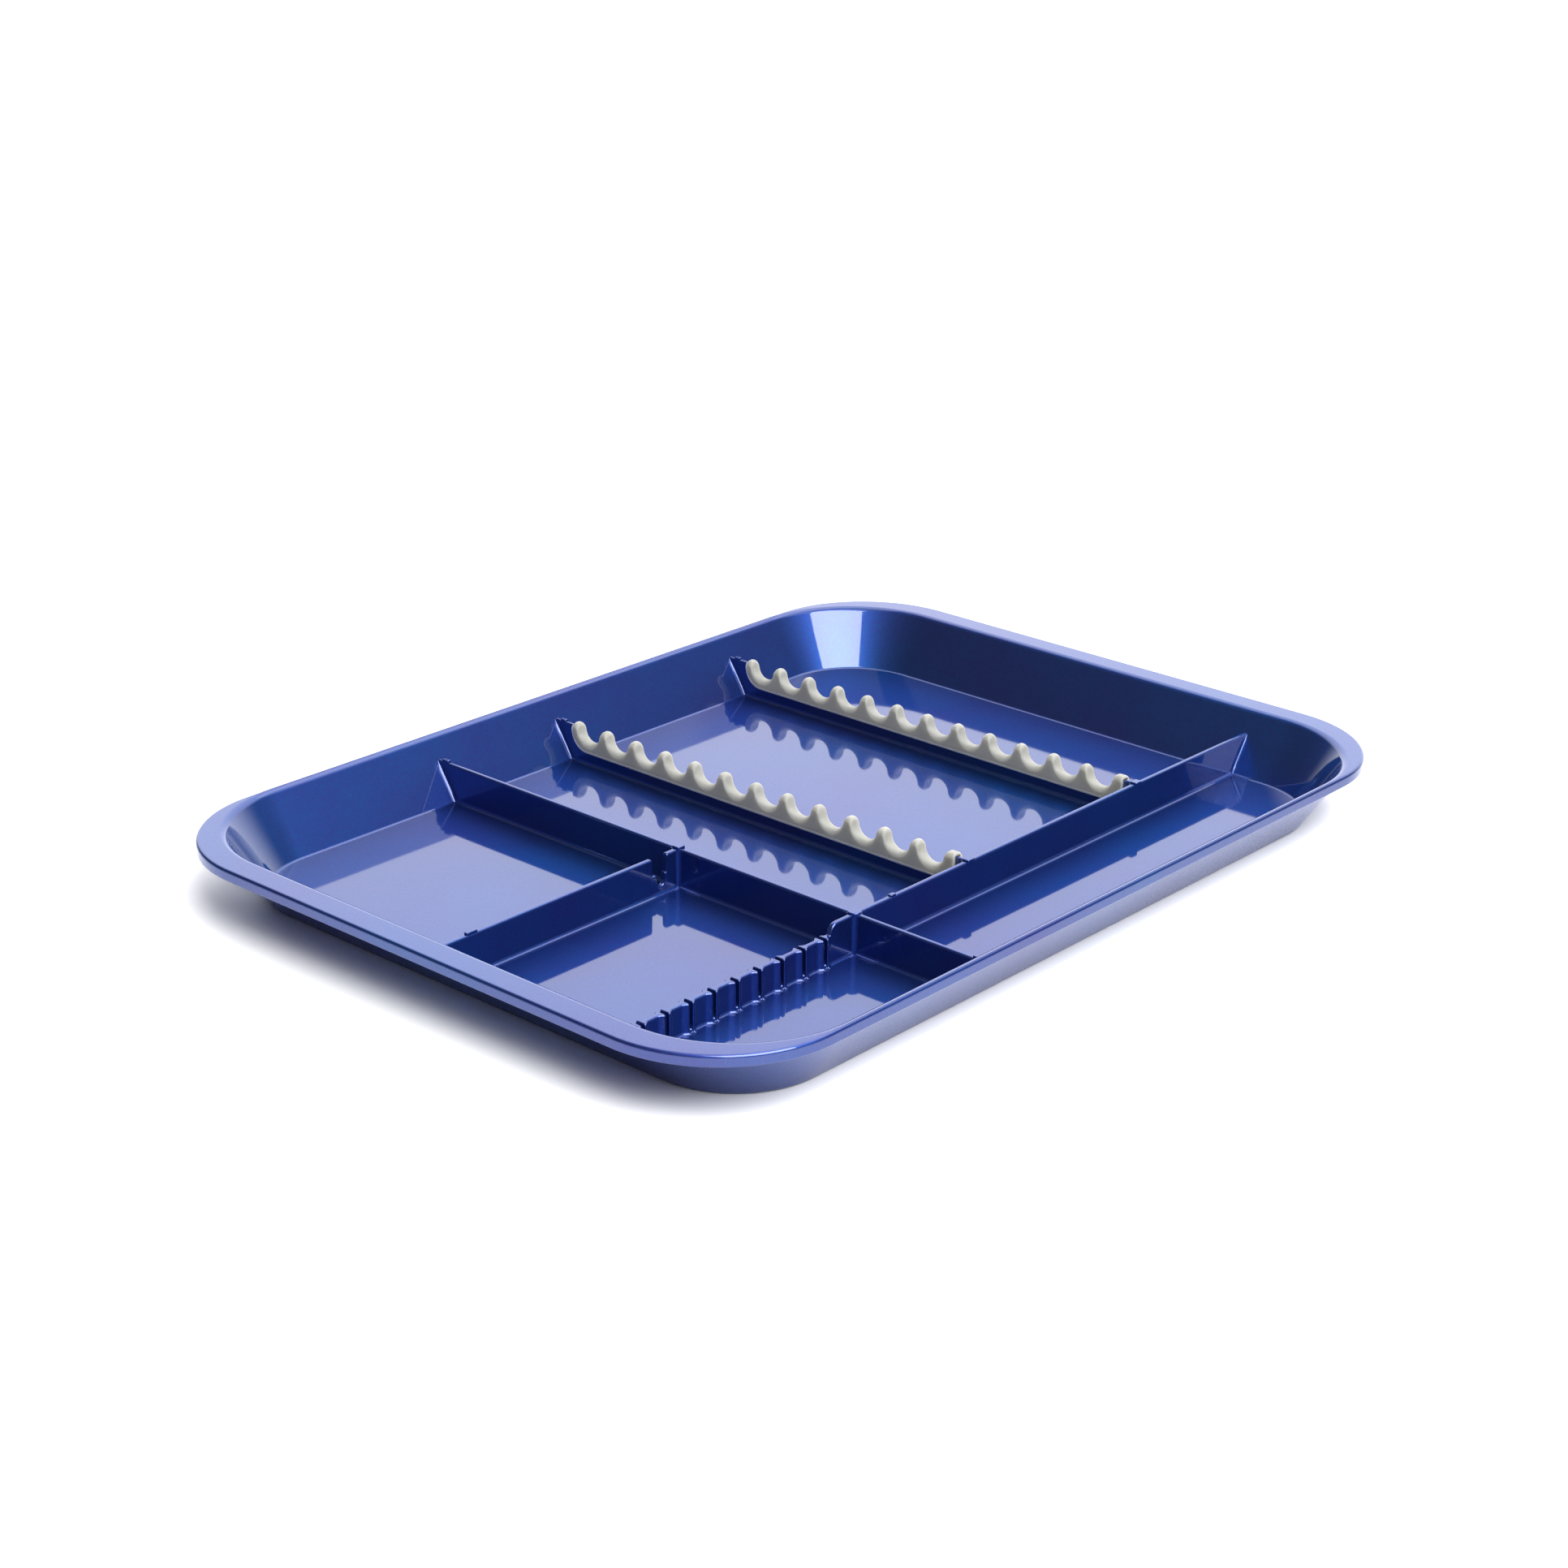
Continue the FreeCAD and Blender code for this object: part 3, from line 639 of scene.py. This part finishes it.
def build_strip(name, material, body):
    """Soft channel with a scalloped top and a rounded lower corner at its wall end."""
    low, high = STRIP_BOXES[name]
    place = (low.x + high.x) / 2 / MM
    wall_end = high.y / MM
    open_end = low.y / MM
    tip_up = STRIP_TOP - STRIP_TIP
    wall_tip = arc((0, 0), STRIP_TIP, 0, 90, EDGE_STEPS)
    open_tip = arc((0, 0), STRIP_TIP, 90, 0, EDGE_STEPS)
    path = [(wall_end - (STRIP_TIP - across), tip_up + up) for across, up in wall_tip]
    path += scallop_top(SCALLOP_RADIUS, CREST_RADIUS, STRIP_TOP)
    path += [(open_end + STRIP_TIP - across, tip_up + up) for across, up in open_tip]
    corner_start = wall_end - STRIP_CORNER
    sections = []
    for along, top in path:
        below = STRIP_BOTTOM
        if along > corner_start:
            drop = STRIP_CORNER ** 2 - (along - corner_start) ** 2
            below = STRIP_BOTTOM + STRIP_CORNER - math.sqrt(max(0.0, drop))
        sections.append([(place + across, along, up) for across, up in strip_section(along, top, below)])
    mesh = bmesh.new()
    loft(mesh, sections)
    return finish_piece(mesh, f"{name}_silicone", material, body, name)


# ---------------------------------------------------------------- materials

# Tray plastic
BLUE_DEEP = (0.030, 0.030, 0.195, 1.0)
BLUE_BRIGHT = (0.010, 0.072, 0.262, 1.0)
PEARL_TINT = (0.40, 0.45, 0.62, 1.0)
FLAKE_SCALE = 3400.0
FLAKE_SHARE = 0.45
FLAKE_ROUGHNESS = (0.44, 0.54)
FLOW_SCALE = 16.0
FLOW_DETAIL = 3.0
TONE_SPAN = (0.3, 1.15)
RIPPLE_SCALE = 45.0
RIPPLE_DETAIL = 1.0
RIPPLE_STRENGTH = 0.05
RIPPLE_HEIGHT = 0.0003
SPARKLE_STRENGTH = 0.12
SPARKLE_HEIGHT = 0.00002
COAT_ROUGHNESS = 0.05
COAT_IOR = 1.55

# Strip silicone
GREY_DARK = (0.315, 0.305, 0.262, 1.0)
GREY_LIGHT = (0.365, 0.354, 0.308, 1.0)
GRAIN_SCALE = 900.0
GRAIN_DETAIL = 4.0
GRAIN_ROUGHNESS = (0.42, 0.62)
GRAIN_STRENGTH = 0.15
GRAIN_HEIGHT = 0.0002
CLOUD_SCALE = 70.0
CLOUD_DETAIL = 3.0
GLOW_RADIUS = (1.0, 0.9, 0.75)
GLOW_DEPTH = 0.008


def new_material(name):
    material = bpy.data.materials.new(name)
    material.use_nodes = True
    tree = material.node_tree
    return material, tree, tree.nodes["Principled BSDF"]


def add_node(tree, kind, **settings):
    node = tree.nodes.new(kind)
    for key, setting in settings.items():
        if key in node.inputs:
            node.inputs[key].default_value = setting
        else:
            setattr(node, key, setting)
    return node


def noise(tree, place, scale, detail):
    texture = add_node(tree, "ShaderNodeTexNoise", Scale=scale, Detail=detail)
    tree.links.new(place.outputs["Object"], texture.inputs["Vector"])
    return texture.outputs["Fac"]


def remap(tree, source, start, end, low, high, interpolation="LINEAR"):
    """Stretch a value from start..end to low..high."""
    node = add_node(tree, "ShaderNodeMapRange", interpolation_type=interpolation)
    for name, number in zip(("From Min", "From Max", "To Min", "To Max"), (start, end, low, high)):
        node.inputs[name].default_value = number
    tree.links.new(source, node.inputs["Value"])
    return node.outputs["Result"]


def mix_colours(tree, source, first, second):
    node = add_node(tree, "ShaderNodeMix", data_type="RGBA")
    # Several sockets share the names A and B; the colours are the ones at 6 and 7
    node.inputs[6].default_value = first
    node.inputs[7].default_value = second
    tree.links.new(source, node.inputs["Factor"])
    return node.outputs[2]


def bump(tree, source, strength, distance, under=None):
    """Raise the surface by a texture, on top of another bump if one is given."""
    node = add_node(tree, "ShaderNodeBump", Strength=strength, Distance=distance)
    tree.links.new(source, node.inputs["Height"])
    if under:
        tree.links.new(under, node.inputs["Normal"])
    return node.outputs["Normal"]


def tray_material():
    """Deep blue pearl plastic: a soft metallic body with fine flake under a clear skin."""
    material, tree, shader = new_material("pearl_blue_plastic")
    link = tree.links.new
    place = add_node(tree, "ShaderNodeTexCoord")
    flake = add_node(tree, "ShaderNodeTexVoronoi", Scale=FLAKE_SCALE)
    link(place.outputs["Object"], flake.inputs["Vector"])
    split = add_node(tree, "ShaderNodeSeparateColor")
    link(flake.outputs["Color"], split.inputs["Color"])
    blend = add_node(tree, "ShaderNodeMath", operation="MULTIPLY_ADD")
    link(split.outputs["Red"], blend.inputs[0])
    blend.inputs[1].default_value = FLAKE_SHARE
    link(noise(tree, place, FLOW_SCALE, FLOW_DETAIL), blend.inputs[2])
    share = remap(tree, blend.outputs[0], *TONE_SPAN, 0.0, 1.0)
    link(mix_colours(tree, share, BLUE_DEEP, BLUE_BRIGHT), shader.inputs["Base Color"])
    link(remap(tree, split.outputs["Green"], 0.0, 1.0, *FLAKE_ROUGHNESS), shader.inputs["Roughness"])
    ripple = noise(tree, place, RIPPLE_SCALE, RIPPLE_DETAIL)
    wave = bump(tree, ripple, RIPPLE_STRENGTH, RIPPLE_HEIGHT)
    sparkle = bump(tree, split.outputs["Blue"], SPARKLE_STRENGTH, SPARKLE_HEIGHT, wave)
    link(sparkle, shader.inputs["Normal"])
    link(wave, shader.inputs["Coat Normal"])
    shader.inputs["Metallic"].default_value = 1.0
    shader.inputs["Specular Tint"].default_value = PEARL_TINT
    shader.inputs["Coat Weight"].default_value = 1.0
    shader.inputs["Coat Roughness"].default_value = COAT_ROUGHNESS
    shader.inputs["Coat IOR"].default_value = COAT_IOR
    return material


def strip_material():
    """Matte warm grey silicone with fine grain and a little cloudiness."""
    material, tree, shader = new_material("grey_silicone")
    link = tree.links.new
    place = add_node(tree, "ShaderNodeTexCoord")
    grain = noise(tree, place, GRAIN_SCALE, GRAIN_DETAIL)
    cloud = noise(tree, place, CLOUD_SCALE, CLOUD_DETAIL)
    link(mix_colours(tree, cloud, GREY_DARK, GREY_LIGHT), shader.inputs["Base Color"])
    link(remap(tree, grain, 0.0, 1.0, *GRAIN_ROUGHNESS), shader.inputs["Roughness"])
    link(bump(tree, grain, GRAIN_STRENGTH, GRAIN_HEIGHT), shader.inputs["Normal"])
    shader.inputs["Subsurface Weight"].default_value = 1.0
    shader.inputs["Subsurface Radius"].default_value = GLOW_RADIUS
    shader.inputs["Subsurface Scale"].default_value = GLOW_DEPTH
    return material


# ---------------------------------------------------------------- stage, light and camera

STAGE_SIDES = 96
STAGE_RADIUS = 3.2
STAGE_COLOUR = (0.93, 0.93, 0.93, 1.0)
STAGE_ROUGHNESS = 0.6


def build_stage():
    """A plain round white floor."""
    bpy.ops.mesh.primitive_circle_add(
        vertices=STAGE_SIDES, radius=STAGE_RADIUS, fill_type="NGON", location=(0, 0, 0)
    )
    floor = bpy.context.object
    floor.name = "studio_floor"
    material, tree, shader = new_material("white_sweep")
    shader.inputs["Base Color"].default_value = STAGE_COLOUR
    shader.inputs["Roughness"].default_value = STAGE_ROUGHNESS
    floor.data.materials.append(material)


def area_light(name, place, aim, size, power):
    """A rectangular softbox at a place, turned to face an aim."""
    data = bpy.data.lights.new(name, "AREA")
    data.shape = "RECTANGLE"
    data.size, data.size_y = size
    data.energy = power
    light = bpy.data.objects.new(name, data)
    bpy.context.scene.collection.objects.link(light)
    light.location = place
    light.rotation_mode = "QUATERNION"
    light.rotation_quaternion = (Vector(aim) - Vector(place)).to_track_quat("-Z", "Y")


ROOM_COLOUR = (1.0, 1.0, 1.05, 1.0)
BACK_WAY = Vector((0.745, 0.489, 0.454))
BACK_EDGE = (0.60, 0.84)
BACK_GLOW = 2.3
ROOM_GLOW = 0.11
HORIZON_GLOW = 0.95
HORIZON_FADE = 0.2
KEY_HEADING = math.radians(196.7)
KEY_RISE = math.radians(50)
KEY_DISTANCE = 1.6
KEY_SIZE = (1.35, 1.15)
KEY_POWER = 50.0
TOP_STRENGTH = 1.0
TOP_SPREAD = math.radians(60)
TOP_TILT = (math.radians(6), math.radians(15), 0)


def build_world():
    """A dim room with a bright sweep behind the object and a pale horizon."""
    world = bpy.data.worlds.new("studio")
    bpy.context.scene.world = world
    world.use_nodes = True
    tree = world.node_tree
    link = tree.links.new
    background = tree.nodes["Background"]
    background.inputs["Color"].default_value = ROOM_COLOUR
    way = add_node(tree, "ShaderNodeTexCoord")
    facing = add_node(tree, "ShaderNodeVectorMath", operation="DOT_PRODUCT")
    facing.inputs[1].default_value = BACK_WAY
    link(way.outputs["Generated"], facing.inputs[0])
    glow = remap(tree, facing.outputs["Value"], *BACK_EDGE, ROOM_GLOW, BACK_GLOW, "SMOOTHSTEP")
    height = add_node(tree, "ShaderNodeSeparateXYZ")
    link(way.outputs["Generated"], height.inputs[0])
    horizon = remap(tree, height.outputs["Z"], 0.0, HORIZON_FADE, HORIZON_GLOW, 0.0, "SMOOTHSTEP")
    brighter = add_node(tree, "ShaderNodeMath", operation="MAXIMUM")
    link(glow, brighter.inputs[0])
    link(horizon, brighter.inputs[1])
    link(brighter.outputs[0], background.inputs["Strength"])


def build_light():
    """The studio: its world, a softbox behind the camera and a broad overhead light."""
    build_world()
    flat = math.cos(KEY_RISE)
    way = Vector((math.sin(KEY_HEADING) * flat, math.cos(KEY_HEADING) * flat, math.sin(KEY_RISE)))
    area_light("key_softbox", way * KEY_DISTANCE, (0, 0, 0), KEY_SIZE, KEY_POWER)
    data = bpy.data.lights.new("overhead", "SUN")
    data.energy = TOP_STRENGTH
    data.angle = TOP_SPREAD
    overhead = bpy.data.objects.new("overhead", data)
    overhead.rotation_euler = TOP_TILT
    bpy.context.scene.collection.objects.link(overhead)
    bpy.context.scene.view_settings.view_transform = "Standard"


CAMERA_PLACE = Vector((-0.6749, -0.5842, 0.3789))
CAMERA_HEADING = math.radians(48.7)
CAMERA_DIP = math.radians(21.76)
CAMERA_ROLL = math.radians(0.86)
CAMERA_LENS = 68.66
SENSOR = 36.0
NEAREST_VIEW = 0.01


def build_camera():
    """The camera at the photograph's viewing angle."""
    data = bpy.data.cameras.new("camera")
    data.sensor_width = SENSOR
    data.lens = CAMERA_LENS
    data.clip_start = NEAREST_VIEW
    camera = bpy.data.objects.new("camera", data)
    bpy.context.scene.collection.objects.link(camera)
    ahead = Vector((
        math.sin(CAMERA_HEADING) * math.cos(CAMERA_DIP),
        math.cos(CAMERA_HEADING) * math.cos(CAMERA_DIP),
        -math.sin(CAMERA_DIP),
    ))
    camera.location = CAMERA_PLACE
    camera.rotation_mode = "QUATERNION"
    level = ahead.to_track_quat("-Z", "Y")
    camera.rotation_quaternion = level @ Quaternion((0, 0, 1), CAMERA_ROLL)
    bpy.context.scene.camera = camera


build_camera()
build_light()
build_stage()
build_tray(tray_material())
silicone = strip_material()
build_strip("instrument_strip_front", silicone, "front_strip")
build_strip("instrument_strip_rear", silicone, "rear_strip")
